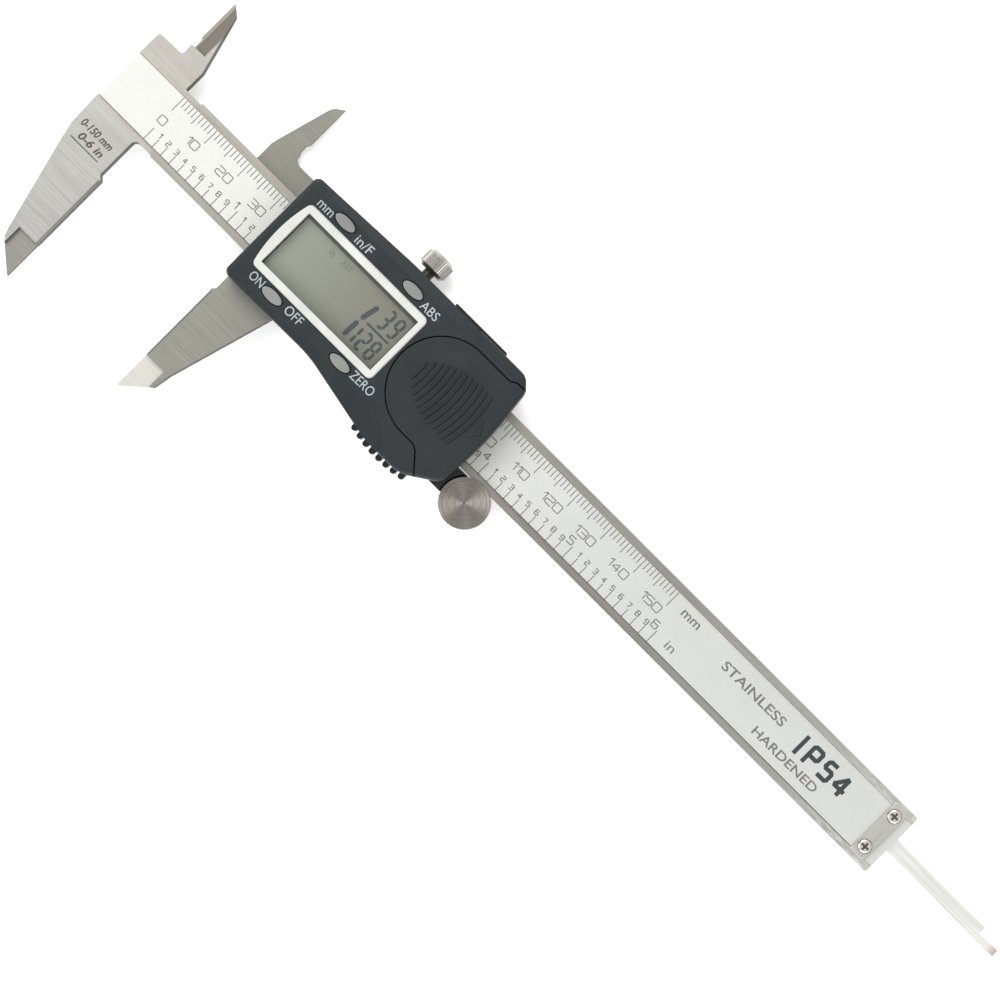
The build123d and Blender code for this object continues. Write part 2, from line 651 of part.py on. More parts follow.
def housing():
    """The slate upper shell with its openings and screw bosses."""
    underside = SHELL_TOP - 1.4
    shell = housing_block() - prism(housing_face(WALL), SHELL_BOTTOM - 1, underside)
    for i, (x, y) in enumerate(SCREWS):
        high = underside + 0.1 if i < 2 else HOLDER_TOP
        wall_y = 14.2 if y > 0 else (-13.0 if i < 2 else -15.4)
        shell += disc(x, y, BOSS_R, SHELL_BOTTOM, high)
        shell += block((x - 0.6, x + 0.6), sorted((y, wall_y)), (SHELL_BOTTOM, high))
        shell -= disc(x, y, SCREW_R + 0.02, SHELL_BOTTOM - 1, HOLDER_TOP - 0.6)
    shell -= prism(bezel_face(FIT), underside - 0.01, SHELL_TOP + 1)
    for x, y in BUTTONS.values():
        shell -= oval(x, y, BUTTON_GAP, underside - 0.01, SHELL_TOP + 1)
    shell -= shoulder(LOWER_CREASE, -18.5, 35.0, 83.5)
    shell -= shoulder(UPPER_CREASE, 15.8, 36.0, 81.5)
    opening = cover_face(COVER_GAP)
    shell -= prism(opening, HOLDER_TOP + 0.2, SHELL_TOP + 1)
    shell -= prism(opening, COVER_WALL_LOW - 0.2, SHELL_TOP) & block((94.6, 110), (-30, 30), (0, 20))
    return shell - block((PORT_LEFT - PORT_TRAVEL + 0.6, PORT_RIGHT - 0.7), (13.0, 17.0), PORT_SLOT_Z)


def ridge(x, half):
    """One curved thumb ridge on the battery cover, with sloping sides."""
    low = SHELL_TOP - 0.1
    high = SHELL_TOP + RIDGE_HIGH
    middle = x - RIDGE_CURVE
    inner = RIDGE_CURVE - RIDGE_WIDE
    arc = cone(middle, CELL_Y, RIDGE_CURVE, RIDGE_CURVE - 0.25, low, high)
    arc -= cone(middle, CELL_Y, inner, inner + 0.2, low - 0.01, high + 0.01)
    return arc & block((x - 5, x + 1), (CELL_Y - half, CELL_Y + half), (0, 20))


def arrow():
    """The raised outline of an arrowhead that shows which way the cover slides."""
    tip = 96.4
    back = tip - 1.6
    half = 2.35
    thick = 0.4
    points = (
        (back, CELL_Y + half), (tip, CELL_Y), (back, CELL_Y - half), (back - thick, CELL_Y - half),
        (tip - thick, CELL_Y), (back - thick, CELL_Y + half),
    )
    return Pos(0, -0.5, 0) * prism(polygon(points), SHELL_TOP - 0.1, SHELL_TOP + 0.3)


def battery_cover():
    """The cover over the cell, with the housing's right end, that slides off along the beam."""
    outer = housing_block()
    top = outer & prism(cover_face(), COVER_BOTTOM, SHELL_TOP + 1)
    ring = outer - prism(housing_face(WALL - FIT), 0, 20)
    wall = prism(cover_face(), COVER_WALL_LOW, COVER_BOTTOM + 0.1)
    end = ring & wall & block((94.9, 110), (-30, 30), (0, 20))
    neck = block((82.5, 93.5), (-11.0, 11.6), (7.9, COVER_BOTTOM + 0.1))
    tongue = block((78.0, 93.5), (-12.1, 12.6), (7.5, 8.0))
    cover = top + end + neck + tongue
    longest = 6.9
    for i in range(RIDGES):
        left_out = 1 - (i + 0.55) / (RIDGES - 2)
        cover += ridge(RIDGE_FIRST + RIDGE_PITCH * i, longest * math.sqrt(1 - max(0, left_out) ** 2))
    return cover + arrow()


def data_port_cover():
    """The sliding cover of the data port on the upper edge."""
    strip = block((PORT_LEFT, PORT_RIGHT), (15.5, 16.05), (3.9, 8.1))
    strip = chamfer(strip.edges().filter_by(Axis.Z), 0.25)
    neck = block((PORT_LEFT + 0.9, PORT_RIGHT - 0.9), (13.7, 15.6), (4.6, 5.8))
    return strip + neck + block((PORT_LEFT + 0.9, PORT_RIGHT - 0.9), (13.3, 13.8), (4.1, 7.0))


def lcd_bezel():
    """The white frame around the display window."""
    bezel = prism(bezel_face(), SHELL_TOP - 1.3, BEZEL_TOP)
    bezel = chamfer(bezel.edges().group_by(Axis.Z)[-1], 0.25)
    bezel -= block((37.7, 70.3), (-7.0, 7.36), (0, 20))
    return bezel - block((36.9, 71.1), (-7.8, 8.2), (0, 9.35))


def lcd_window():
    """The clear window behind the bezel."""
    return block((36.95, 71.05), (-7.75, 8.15), (8.4, 9.33))


def button(x, y):
    """One oval button: the cap, the flange that keeps it in and the stem over its switch."""
    cap = oval(x, y, 0, 7.4, BUTTON_TOP)
    cap = fillet(cap.edges().group_by(Axis.Z)[-1], 0.25)
    flange = oval(x, y, 0.4, 7.2, 7.9)
    return cap + flange + disc(x, y, 0.9, BOARD_TOP + 0.85, 7.3)


def housing_screws():
    """Four countersunk screws from the slider's back into the housing's bosses."""
    screws = []
    for x, y in SCREWS:
        shank = disc(x, y, SCREW_R, PLATE_BACK + FIT, HOLDER_TOP - 0.8)
        head = cone(x, y, 1.85, SCREW_R, PLATE_BACK + FIT, PLATE_BACK + 0.95)
        screws.append(shank + head - cross_slot(x, y, 1.0, PLATE_BACK - 1, PLATE_BACK + 0.7))
    return Compound(screws)


# ---- all the pieces ----
os.makedirs("parts", exist_ok=True)
PIECES = (
    beam, scale_board, scale_label, end_stop_plate, end_stop_screws,
    slider_frame, gib_strip, gib_screws, depth_rod, depth_rod_clamp, rod_clamp_screws,
    roller_bracket, roller_axle, thumb_roller, lock_pad, lock_screw,
    sensor_board, circuit_board, controller_chip, switch_domes, data_port_contacts,
    lcd_glass, zebra_connector, lcd_frame, battery_holder, battery, battery_contact_minus,
    battery_contact_plus, housing_base, housing_gasket, housing, housing_screws, lcd_bezel, lcd_window,
    battery_cover, data_port_cover,
)
for piece in PIECES:
    write(piece.__name__, piece())
for button_name, (button_x, button_y) in BUTTONS.items():
    write(button_name, button(button_x, button_y))
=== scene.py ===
import json

import bmesh
import bpy
from mathutils import Matrix, Vector


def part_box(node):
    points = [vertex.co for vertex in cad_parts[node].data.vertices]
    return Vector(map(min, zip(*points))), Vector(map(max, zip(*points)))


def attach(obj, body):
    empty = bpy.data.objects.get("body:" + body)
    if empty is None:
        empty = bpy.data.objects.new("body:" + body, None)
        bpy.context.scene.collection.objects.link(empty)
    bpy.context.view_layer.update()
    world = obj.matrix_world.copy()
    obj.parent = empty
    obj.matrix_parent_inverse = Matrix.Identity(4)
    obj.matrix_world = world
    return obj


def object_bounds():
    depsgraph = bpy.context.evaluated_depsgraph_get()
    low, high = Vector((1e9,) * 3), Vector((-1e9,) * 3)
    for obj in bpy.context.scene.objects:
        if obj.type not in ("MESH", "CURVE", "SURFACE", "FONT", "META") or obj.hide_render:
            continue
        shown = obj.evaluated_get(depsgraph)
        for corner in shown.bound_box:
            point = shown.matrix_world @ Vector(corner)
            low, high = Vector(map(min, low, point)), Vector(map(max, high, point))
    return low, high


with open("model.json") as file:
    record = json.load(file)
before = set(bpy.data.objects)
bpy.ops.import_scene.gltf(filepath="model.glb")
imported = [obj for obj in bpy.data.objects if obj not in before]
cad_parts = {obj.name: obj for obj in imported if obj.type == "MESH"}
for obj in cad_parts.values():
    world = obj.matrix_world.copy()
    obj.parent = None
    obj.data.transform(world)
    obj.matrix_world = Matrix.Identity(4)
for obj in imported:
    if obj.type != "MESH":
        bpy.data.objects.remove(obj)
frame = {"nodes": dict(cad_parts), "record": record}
cad_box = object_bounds()

# ---- sizes, in millimetres about the beam's centreline, as the part's source has them ----
MM = 0.001
BOARD_EDGE = 6.3             # from the scale board's lower edge up to the beam's centreline
BEAM_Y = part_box("scale_board")[0].y / MM + BOARD_EDGE
OPENING = 33.14
LABEL_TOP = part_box("scale_label")[1].z / MM
SHELL_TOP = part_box("housing")[1].z / MM
LCD_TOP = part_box("lcd_glass")[1].z / MM
BEAM_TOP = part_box("beam")[1].z / MM
FLOOR = cad_box[0][2]


def at(x, y, z):
    """A point of the caliper, in metres in the row's frame."""
    return Vector((x * MM, (y + BEAM_Y) * MM, z * MM))


# ---- camera ----
CAMERA_HEIGHT = 650.0        # above the scale
CAMERA_X = 122.9
AIM_X = 108.95
AIM_Y = -7.0
VIEW_WIDTH = 213.8


def add_camera():
    """Looks straight down, a degree off upright, with the beam running down to the right."""
    eye = at(CAMERA_X, AIM_Y, LABEL_TOP + CAMERA_HEIGHT)
    aim = at(AIM_X, AIM_Y, LABEL_TOP)
    back = (eye - aim).normalized()
    right = Vector((1, 1, 0))
    right = (right - back * right.dot(back)).normalized()
    up = back.cross(right)
    turn = Matrix((right, up, back)).transposed().to_4x4()
    data = bpy.data.cameras.new("camera")
    data.sensor_width = 36.0
    data.lens = 36.0 * (eye - aim).length / (VIEW_WIDTH * MM)
    data.clip_start = 0.01
    camera = bpy.data.objects.new("camera", data)
    camera.matrix_world = Matrix.Translation(eye) @ turn
    bpy.context.scene.collection.objects.link(camera)
    bpy.context.scene.camera = camera


add_camera()


# ---- zones of the steel that differ, some in colour and some in painted light and shade, as (low, high) pairs along X and along Y ----
JAW_TIP_Y = (-50, -38.5)
SHADED_FIXED_TIP = ((-5.4, 2), JAW_TIP_Y)
LIT_MOVING_TIP = ((OPENING - 2, OPENING + 5.4), JAW_TIP_Y)
HEAD = ((-20, 3), (-7.2, 40))
RAILS = ((3, 260), (-9, 9))
LOWER_RAIL = ((3, 260), (-9, 0))
SHADED_FIXED_KNIFE = ((-8, -3.2), (15.4, 30))
SHADED_MOVING_BLADE = ((15, 32), (-8, 40))
LOCK_X = 63.7
LOCK_NECK = ((LOCK_X - 3, LOCK_X + 3), (0, 16.95))
ROD_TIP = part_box("depth_rod")[1].x / MM

# grain, in features per metre along each axis
ALONG_BEAM = (60, 5000, 5000)
ACROSS_BEAM = (5000, 60, 5000)
AROUND_KNOB = (3000, 800, 3000)
EVEN = (2500, 2500, 2500)

EDGE_TINT = (0.62, 0.62, 0.62, 1.0)   # what plain milled steel reflects at a grazing angle


# ---- materials ----
class Surface:
    """A procedural material on a Principled shader, with helpers that add to it."""

    def __init__(self, name, color, roughness, metallic=0.0, specular=0.5):
        self.material = bpy.data.materials.new(name)
        self.material.use_nodes = True
        self.tree = self.material.node_tree
        self.shader = self.tree.nodes["Principled BSDF"]
        self.color = (*color, 1.0)
        self.set("Base Color", self.color)
        self.set("Roughness", roughness)
        self.set("Metallic", metallic)
        self.set("Specular IOR Level", specular)
        self.place = self.tree.nodes.new("ShaderNodeTexCoord").outputs["Object"]
        self.normal = None

    def set(self, socket, value):
        self.shader.inputs[socket].default_value = value

    def node(self, kind, **inputs):
        made = self.tree.nodes.new(kind)
        for name, value in inputs.items():
            socket = made.inputs[name.replace("_", " ")]
            if isinstance(value, bpy.types.NodeSocket):
                self.tree.links.new(value, socket)
            else:
                socket.default_value = value
        return made

    def noise(self, scale, detail=4.0, roughness=0.6):
        """Noise with a size of its own along X, Y and Z, in features per metre."""
        stretched = self.node("ShaderNodeMapping", Vector=self.place, Scale=scale)
        found = self.node(
            "ShaderNodeTexNoise",
            Vector=stretched.outputs[0],
            Scale=1.0,
            Detail=detail,
            Roughness=roughness,
        )
        return found.outputs[0]

    def ramp(self, value, start, end, low=0.0, high=1.0):
        """Takes the value's range start..end to low..high."""
        made = self.node("ShaderNodeMapRange", Value=value)
        made.inputs["From Min"].default_value = start
        made.inputs["From Max"].default_value = end
        made.inputs["To Min"].default_value = low
        made.inputs["To Max"].default_value = high
        return made.outputs[0]

    def spread(self, value, low, high):
        """A noise value's middle range taken to low..high."""
        return self.ramp(value, 0.3, 0.7, low, high)

    def within(self, x, y, soft=0.12):
        """1 inside a rectangle of the part, given as (low, high) pairs, and 0 outside it."""
        low, high = at(x[0], y[0], 0) / MM, at(x[1], y[1], 0) / MM
        found = None
        for axis in range(2):
            for edge, side in ((low[axis], 1), (high[axis], -1)):
                step = self.along(edge - side * soft, edge + side * soft, axis)
                found = self.times(found, step) if found else step
        return found

    def along(self, start, end, axis=0):
        """Rises from 0 to 1 between two places along the beam, or along another axis."""
        apart = self.node("ShaderNodeSeparateXYZ", Vector=self.place)
        return self.ramp(apart.outputs[axis], start * MM, end * MM)

    def times(self, first, second):
        """The product of two values."""
        made = self.tree.nodes.new("ShaderNodeMath")
        made.operation = "MULTIPLY"
        self.tree.links.new(first, made.inputs[0])
        self.tree.links.new(second, made.inputs[1])
        return made.outputs[0]

    def mix(self, amount, color, kind="MIX"):
        """Mixes the colour with another one, or multiplies it, as far as the amount says."""
        mixed = self.tree.nodes.new("ShaderNodeMix")
        mixed.data_type = "RGBA"
        mixed.blend_type = kind
        source = self.shader.inputs["Base Color"]
        if source.is_linked:
            self.tree.links.new(source.links[0].from_socket, mixed.inputs[6])
        else:
            mixed.inputs[6].default_value = self.color
        for socket, value in ((mixed.inputs[0], amount), (mixed.inputs[7], color)):
            if isinstance(value, bpy.types.NodeSocket):
                self.tree.links.new(value, socket)
            else:
                socket.default_value = (*value, 1.0) if isinstance(value, tuple) else value
        self.tree.links.new(mixed.outputs[2], source)
        return self

    def tint(self, value, dark, light):
        """Multiplies the colour by between dark and light, following the value."""
        amount = self.spread(value, dark, light)
        grey = self.node("ShaderNodeCombineColor", Red=amount, Green=amount, Blue=amount)
        return self.mix(1.0, grey.outputs[0], "MULTIPLY")

    def flanks(self, color):
        """Multiplies the colour on upright faces: painted shade, as side faces that the light misses
        look darker.
        """
        facing = self.tree.nodes.new("ShaderNodeTexCoord").outputs["Normal"]
        apart = self.node("ShaderNodeSeparateXYZ", Vector=facing)
        square = self.times(apart.outputs[2], apart.outputs[2])
        return self.mix(self.ramp(square, 0.0, 0.8, 1.0, 0.0), color, "MULTIPLY")

    def rough(self, value, low, high):
        self.tree.links.new(self.spread(value, low, high), self.shader.inputs["Roughness"])
        return self

    def bump(self, value, height):
        """Relief of that height in millimetres, on top of what is there."""
        made = self.node("ShaderNodeBump", Height=value, Distance=height * MM, Strength=1.0)
        if self.normal:
            self.tree.links.new(self.normal, made.inputs["Normal"])
        self.normal = made.outputs[0]
        self.tree.links.new(self.normal, self.shader.inputs["Normal"])
        return self

    def soft_edges(self, radius):
        """Rounds sharp edges by so many millimetres in the shading."""
        made = self.tree.nodes.new("ShaderNodeBevel")
        made.samples = 4
        made.inputs["Radius"].default_value = radius * MM
        self.normal = made.outputs[0]
        self.tree.links.new(self.normal, self.shader.inputs["Normal"])
        return self


def steel(name, color, roughness, grain, lines=0.10, edge=0.15):
    """Ground steel: fine lines along one axis, cloudy patches and softened edges."""
    made = Surface(name, color, roughness, metallic=1.0).soft_edges(edge)
    fine = made.noise(grain, detail=3.0, roughness=0.75)
    coarse = made.noise(tuple(0.3 * size for size in grain), detail=3.0, roughness=0.7)
    patches = made.noise((90, 90, 90), detail=5.0)
    made.tint(fine, 1 - lines, 1 + lines).tint(coarse, 1 - lines / 2, 1 + lines / 2)
    made.tint(patches, 0.96, 1.03)
    made.rough(fine, roughness - 0.07, roughness + 0.09)
    made.bump(fine, 0.004)
    return made


def beam_steel():
    """The beam: warm rails, worn pale at their end, a cool jaw, and painted shade on the thin tip,
    the knife bevel and the upright side faces.
    """
    made = steel("beam_steel", (0.452, 0.448, 0.424), 0.36, ALONG_BEAM, 0.06)
    made.mix(made.within(*HEAD, 0.5), (0.92, 0.89, 0.85), "MULTIPLY")
    rails = made.within(*RAILS, 0.5)
    lower = made.within(*LOWER_RAIL, 0.5)
    past_housing = made.along(90, 110)
    made.mix(rails, (0.83, 0.81, 0.745), "MULTIPLY")
    made.mix(made.times(past_housing, rails), (0.93, 0.93, 0.95), "MULTIPLY")
    made.mix(made.times(past_housing, lower), (0.86, 0.85, 0.85), "MULTIPLY")
    worn = made.ramp(made.noise((400, 1500, 400), detail=5.0), 0.42, 0.62)
    made.mix(made.along(150, 260), (0.62, 0.61, 0.58))
    made.mix(made.times(worn, made.along(195, 222)), (0.80, 0.79, 0.76))
    # painted shade on the fixed jaw's tip, whose bevel faces away from the light
    made.mix(made.within(*SHADED_FIXED_TIP), (0.70, 0.69, 0.65), "MULTIPLY")
    # painted shade on the bevel of the fixed inside jaw's knife edge
    made.mix(made.within(*SHADED_FIXED_KNIFE), (0.62, 0.59, 0.555), "MULTIPLY")
    made.set("Specular Tint", EDGE_TINT)
    # painted shade on the upright side faces
    return made.flanks((0.28, 0.27, 0.255))


def slider_steel():
    """The slider: greyer than the beam, with painted shade on its inside jaw, a painted highlight on
    the ground tip of its outside jaw, and painted shade on its upright side faces.
    """
    made = steel("slider_steel", (0.304, 0.302, 0.266), 0.38, ALONG_BEAM, 0.06)
    # painted shade on the slider's left end and inside jaw, which sits lower than the beam's face
    made.mix(made.within(*SHADED_MOVING_BLADE, 0.5), (0.82, 0.81, 0.79), "MULTIPLY")
    # painted highlight on the bevel of the outside jaw's tip, which faces the light
    made.mix(made.within(*LIT_MOVING_TIP), (0.68, 0.66, 0.61))
    made.set("Specular Tint", EDGE_TINT)
    # painted shade on the upright side faces
    return made.flanks((0.28, 0.27, 0.255))


def rod_steel():
    """The depth rod: pale and streaked, with a worn brown tip."""
    made = steel("rod_steel", (0.90, 0.89, 0.86), 0.34, ALONG_BEAM, 0.12, 0.08)
    return made.mix(made.along(ROD_TIP - 2.2, ROD_TIP), (0.62, 0.47, 0.36))


def knob_steel():
    """The lock screw: a bright knurled knob on a blackened neck."""
    made = steel("knob_steel", (0.445, 0.43, 0.40), 0.34, AROUND_KNOB, 0.06, 0.12)
    return made.mix(made.within(*LOCK_NECK, 0.05), (0.06, 0.06, 0.058))


def screw_steel():
    """Nickelled screws. The end stop's two have painted shade in the cross recess and round the head.
    """
    made = steel("screw_steel", (0.74, 0.72, 0.68), 0.24, EVEN, 0.05, 0.12)
    low, high = (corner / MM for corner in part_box("end_stop_screws"))
    below = made.along(high.z - 0.25, high.z - 0.38, axis=2)
    here = made.within((low.x - 1, high.x + 1), (-9, 9))
    # painted shade: darker with depth below the top of the end stop's screw heads
    return made.mix(made.times(below, here), (0.16, 0.12, 0.09))


def turned_steel(name, color, node):
    """Steel faced on a lathe: fine rings about an upright axis, with the sheen that they give."""
    made = Surface(name, color, 0.36, metallic=1.0).soft_edges(0.1)
    low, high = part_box(node)
    middle = (low + high) / 2
    moved = made.node("ShaderNodeMapping", Vector=made.place, Location=-middle, Scale=(1.0, 1.0, 0.0))
    length = made.tree.nodes.new("ShaderNodeVectorMath")
    length.operation = "LENGTH"
    made.tree.links.new(moved.outputs[0], length.inputs[0])
    radius = made.node("ShaderNodeCombineXYZ", X=length.outputs["Value"])
    noise = made.node(
        "ShaderNodeTexNoise",
        Vector=radius.outputs[0],
        Scale=2600.0,
        Detail=3.0,
        Roughness=0.7,
    )
    rings = noise.outputs[0]
    made.tint(rings, 0.84, 1.14)
    made.rough(rings, 0.30, 0.44)
    made.bump(rings, 0.006)
    tangent = made.tree.nodes.new("ShaderNodeTangent")
    tangent.direction_type = "RADIAL"
    tangent.axis = "Z"
    made.tree.links.new(tangent.outputs[0], made.shader.inputs["Tangent"])
    made.set("Anisotropic", 0.85)
    return made


def plastic(name, color, roughness, grain=0.012, specular=0.5):
    """Moulded plastic with a fine spark-eroded grain and slightly uneven gloss."""
    made = Surface(name, color, roughness, specular=specular).soft_edges(0.2)
    fine = made.noise((5000, 5000, 5000), detail=2.0)
    smear = made.noise((160, 160, 160), detail=4.0)
    made.tint(smear, 0.92, 1.08).tint(fine, 0.97, 1.03)
    made.rough(smear, roughness - 0.05, roughness + 0.06)
    made.bump(fine, grain)
    return made


def make_materials():
    """One material for each of the record's slots, and some for what is only drawn here."""
    made = {
        "beam_steel": beam_steel(),
        "slider_steel": slider_steel(),
        "rod_steel": rod_steel(),
        "stop_steel": steel("stop_steel", (0.54, 0.53, 0.49), 0.40, ACROSS_BEAM, 0.08, 0.12),
        "roller_steel": turned_steel("roller_steel", (0.265, 0.24, 0.215), "thumb_roller"),
        "knob_steel": knob_steel(),
        "screw_steel": screw_steel(),
        "cell_steel": steel("cell_steel", (0.74, 0.74, 0.75), 0.25, EVEN, 0.03, 0.1),
        "bronze": steel("bronze", (0.72, 0.46, 0.22), 0.35, ALONG_BEAM, 0.08, 0.05),
        "contact_brass": steel("contact_brass", (0.86, 0.64, 0.30), 0.25, EVEN, 0.03, 0.05),
        "scale_board": plastic("scale_board", (0.10, 0.17, 0.09), 0.45),
        "circuit_board": plastic("circuit_board", (0.03, 0.14, 0.06), 0.35),
        "black_resin": plastic("black_resin", (0.012, 0.012, 0.012), 0.3),
        "seal_rubber": plastic("seal_rubber", (0.02, 0.02, 0.02), 0.7),
        "black_plastic": plastic("black_plastic", (0.013, 0.014, 0.015), 0.42, specular=0.35),
        "housing_plastic": plastic("housing_plastic", (0.0135, 0.018, 0.0205), 0.38, specular=0.32),
        "port_plastic": plastic("port_plastic", (0.0125, 0.016, 0.0185), 0.42, specular=0.32),
        "bezel_plastic": plastic("bezel_plastic", (0.54, 0.55, 0.515), 0.32, 0.003, specular=0.35),
        "button_plastic": plastic("button_plastic", (0.185, 0.195, 0.180), 0.42, 0.006),
        "scale_ink": plastic("scale_ink", (0.135, 0.128, 0.12), 0.5, 0.002),
        "dark_ink": plastic("dark_ink", (0.022, 0.030, 0.034), 0.5, 0.002),
        "white_ink": plastic("white_ink", (0.36, 0.42, 0.44), 0.5, 0.002),
        "etching": plastic("etching", (0.075, 0.050, 0.036), 0.6, 0.006),
        "lcd_ink": plastic("lcd_ink", (0.018, 0.032, 0.038), 0.3, 0.001, specular=0.3),
        "lcd_faint": plastic("lcd_faint", (0.105, 0.118, 0.108), 0.3, 0.001, specular=0.3),
        "lcd_shade": plastic("lcd_shade", (0.062, 0.060, 0.052), 0.3, 0.001, specular=0.3),
    }
    foil = Surface("scale_foil", (0.610, 0.615, 0.575), 0.40, metallic=0.25)
    foil.mix(foil.along(80, 130), (0.525, 0.533, 0.508))
    flecks = foil.noise((3800,) * 3, detail=2.0, roughness=0.8)
    foil.tint(flecks, 0.93, 1.06).tint(foil.noise((60, 60, 60)), 0.97, 1.03)
    foil.rough(flecks, 0.30, 0.5).bump(flecks, 0.006)
    made["scale_foil"] = foil
    lcd = Surface("lcd", (0.204, 0.222, 0.178), 0.25, specular=0.4)
    lcd.mix(lcd.along(40, 64), (0.140, 0.138, 0.104))
    made["lcd"] = lcd
    window = Surface("window", (0.9, 0.93, 0.9), 0.3)
    window.set("Alpha", 0.02)
    made["window"] = window
    return {name: surface.material for name, surface in made.items()}


MATERIALS = make_materials()


def paint_cad_nodes():
    """Gives every CAD node the material of its slot."""
    for part in frame["record"]["subparts"]:
        node = frame["nodes"][part["node"]]
        for place in node.material_slots:
            place.material = MATERIALS[part["material_slot"]]


paint_cad_nodes()


# ---- printing: flat strokes and type, a hair above the surface they are on ----
INK = 0.012
STEP = 0.002                    # so that strokes of one line that cross don't share a face


class Print:
    """Collects flat shapes and makes them one thin piece that rides on a body."""

    def __init__(self, height):
        self.mesh = bmesh.new()
        self.height = height

    def plate(self, outline, lift=0.0):
        """A thin plate with that outline, given anticlockwise."""
        low = [self.mesh.verts.new(at(x, y, self.height)) for x, y in outline]
        high = [self.mesh.verts.new(at(x, y, self.height + INK + lift)) for x, y in outline]
        self.mesh.faces.new(high)
        self.mesh.faces.new(low[::-1])
        for i in range(len(outline)):
            j = (i + 1) % len(outline)
            self.mesh.faces.new((low[i], low[j], high[j], high[i]))

    def bar(self, x, y):
        """A rectangle from (low, high) pairs."""
        self.plate(((x[0], y[0]), (x[1], y[0]), (x[1], y[1]), (x[0], y[1])))

    def line(self, points, width, closed=False):
        """A stroke of even width with mitred corners."""
        points = [Vector(p) for p in points]
        count = len(points)
        sides = []
        for i, point in enumerate(points):
            before = points[i - 1] if i or closed else None
            after = points[(i + 1) % count] if i < count - 1 or closed else None
            if after is not None:
                ahead = (after - point).normalized()
            else:
                ahead = (point - before).normalized()
            behind = (point - before).normalized() if before is not None else ahead
            middle = (ahead + behind).normalized()
            across = Vector((-middle.y, middle.x))
            reach = width / 2 / max(0.3, middle.dot(ahead))
            sides.append((point + across * reach, point - across * reach))
        for i in range(count if closed else count - 1):
            (left, right), (next_left, next_right) = sides[i], sides[(i + 1) % count]
            self.plate((right, next_right, next_left, left), STEP * i)

    def type(self, text, x, y, bold=0.0, slant=0.0):
        """Set type, stretched to fill a box given as (low, high) pairs."""
        curve = bpy.data.curves.new("type", "FONT")
        curve.body = text
        curve.size = 1.0
        curve.offset = bold
        curve.shear = slant
        curve.resolution_u = 4
        maker = bpy.data.objects.new("type", curve)
        bpy.context.scene.collection.objects.link(maker)
        bpy.context.view_layer.update()
        flat = bpy.data.meshes.new_from_object(maker)
        bpy.data.objects.remove(maker)
        xs = [v.co.x for v in flat.vertices]
        ys = [v.co.y for v in flat.vertices]
        grow_x = (x[1] - x[0]) / (max(xs) - min(xs))
        grow_y = (y[1] - y[0]) / (max(ys) - min(ys))
        made = bmesh.new()
        made.from_mesh(flat)
        for v in made.verts:
            set_x = x[0] + (v.co.x - min(xs)) * grow_x
            set_y = y[0] + (v.co.y - min(ys)) * grow_y
            v.co = at(set_x, set_y, self.height)
        bmesh.ops.remove_doubles(made, verts=made.verts, dist=1e-7)
        raised = bmesh.ops.extrude_face_region(made, geom=made.faces[:])
        for item in raised["geom"]:
            if isinstance(item, bmesh.types.BMVert):
                item.co.z += INK * MM
        bmesh.ops.recalc_face_normals(made, faces=made.faces)
        made.to_mesh(flat)
        made.free()
        self.mesh.from_mesh(flat)
        bpy.data.meshes.remove(flat)

    def done(self, name, body, slot):
        add_piece(name, self.mesh, body, slot)


def add_piece(name, mesh, body, slot):
    """Turns a bmesh into an object that rides on a body."""
    data = bpy.data.meshes.new(name)
    mesh.to_mesh(data)
    mesh.free()
    data.materials.append(MATERIALS[slot])
    for face in data.polygons:
        face.use_smooth = False
    piece = bpy.data.objects.new(name, data)
    bpy.context.scene.collection.objects.link(piece)
    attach(piece, body)


# squared figures, drawn in a box 1 wide and 1 high
FIGURES = {
    "0": [[(0, 0), (1, 0), (1, 1), (0, 1), (0, 0)]],
    "1": [[(0, 0.74), (0.85, 1), (1, 1), (1, 0)]],
    "2": [[(0, 1), (1, 1), (1, 0.52), (0, 0.52), (0, 0), (1, 0)]],
    "3": [[(0, 1), (1, 1), (1, 0), (0, 0)], [(0.2, 0.52), (1, 0.52)]],
    "4": [[(0.75, 0), (0.75, 1), (0, 0.32), (1.05, 0.32)]],
    "5": [[(1, 1), (0, 1), (0, 0.55), (1, 0.55), (1, 0), (0, 0)]],
    "6": [[(1, 1), (0, 1), (0, 0), (1, 0), (1, 0.55), (0, 0.55)]],
    "7": [[(0, 1), (1, 1), (0.4, 0)]],
    "8": [[(0, 0), (1, 0), (1, 1), (0, 1), (0, 0)], [(0, 0.52), (1, 0.52)]],
    "9": [[(1, 0.48), (0, 0.48), (0, 1), (1, 1), (1, 0), (0, 0)]],
}


FIGURE_WIDTH = {"1": 0.42}      # of the width of the others

# heavy type for the protection mark, in the same box
HEAVY = {
    "I": [[(0, -0.12), (0, 1.12)]],
    "P": [[(0, -0.12), (0, 1), (1, 1), (1, 0.42), (0, 0.42)]],
    "5": [[(1, 1), (0.1, 1), (0, 0.54), (1, 0.58), (1, 0), (-0.1, 0)]],
    "4": [[(0.78, -0.12), (0.78, 1), (0, 0.25), (1.15, 0.25)]],
}


def rounded(points, cut):
    """Cuts the corners of an open or closed line."""
    closed = points[0] == points[-1]
    corners = [Vector(p) for p in (points[:-1] if closed else points)]
    made = []
    for i, corner in enumerate(corners):
        if not closed and i in (0, len(corners) - 1):
            made.append(corner)
            continue
        for other in (corners[i - 1], corners[(i + 1) % len(corners)]):
            made.append(corner + (other - corner).normalized() * cut)
    return made, closed


def figures(page, text, right, bottom, width, height, gap, stroke):
    """Squared figures that end at a right edge."""
    for figure in reversed(text):
        wide = width * FIGURE_WIDTH.get(figure, 1.0)
        for path in FIGURES[figure]:
            scaled = [(right - wide + x * wide, bottom + y * height) for x, y in path]
            line, closed = rounded(scaled, 0.1 * height)
            page.line(line, stroke, closed)
        right -= wide + gap


